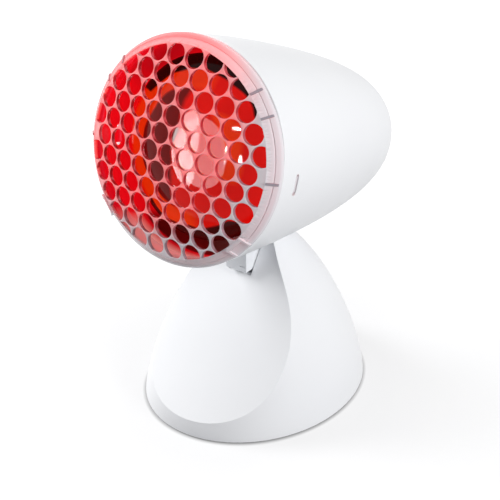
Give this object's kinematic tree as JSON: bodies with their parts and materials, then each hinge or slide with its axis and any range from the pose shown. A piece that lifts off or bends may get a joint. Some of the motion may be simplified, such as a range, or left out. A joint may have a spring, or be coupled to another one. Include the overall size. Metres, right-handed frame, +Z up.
{
  "type": "infrared heat therapy lamp",
  "caption": "Table-top infrared heat lamp: an egg-shaped white head with a domed perforated guard over a red reflector bulb, tilting on a hood-shaped white stand.",
  "frame": {"origin": "middle of the bounding box's underside, on the surface that the lamp stands on", "axes": "+Z is up, the guard faces -Y (and a little upwards), +X is to the right of someone who looks along +Y"},
  "size_m": [0.1216, 0.192, 0.2227],
  "materials": {
    "shell_white": "satin gloss, moulded",
    "guard": "gloss, lightly translucent",
    "bulb_red": "gloss, red stained glass",
    "bulb_mirror": "metallised lining",
    "clear_glass": "clear",
    "tungsten": "matt grey wire",
    "nickel": "nickel plated",
    "cap_insulator": "black vitrite",
    "solder": "tinned",
    "ceramic": "glazed ceramic",
    "brass": "plain",
    "steel": "zinc plated",
    "neck_white": "satin, moulded",
    "foot_rubber": "matt",
    "iron": "painted dark grey",
    "block_plastic": "natural"
  },
  "bodies": {
    "stand": {"base_shell": "shell_white", "pivot_pin": "steel", "bearing_caps": "neck_white", "bearing_screws": "steel", "detent_spring": "steel", "detent_screw": "steel", "bottom_plate": "neck_white", "bottom_screws": "steel", "rubber_feet": "foot_rubber", "ballast_plate": "iron", "ballast_screws": "steel", "terminal_block": "block_plastic", "cord_bush": "neck_white"},
    "head": {"head_housing": "shell_white", "grille": "guard", "bulb_envelope": "bulb_red", "reflector_coating": "bulb_mirror", "bulb_stem": "clear_glass", "filament": "tungsten", "filament_supports": "nickel", "bulb_cap": "nickel", "bulb_insulator": "cap_insulator", "bulb_contact": "solder", "lampholder_body": "ceramic", "lampholder_sleeve": "brass", "lampholder_contact": "brass", "lampholder_bracket": "steel", "bracket_screws": "steel", "holder_screws": "steel", "tilt_neck": "neck_white", "neck_plate": "steel", "neck_screws": "steel"}
  },
  "joints": [
    {"name": "head_tilt", "type": "hinge", "parent": "stand", "child": "head", "pos_m": [0, 0.00299, 0.088], "axis": [-1, 0, 0], "range_deg": [0, 32], "deforming": ["detent_spring"]}
  ]
}
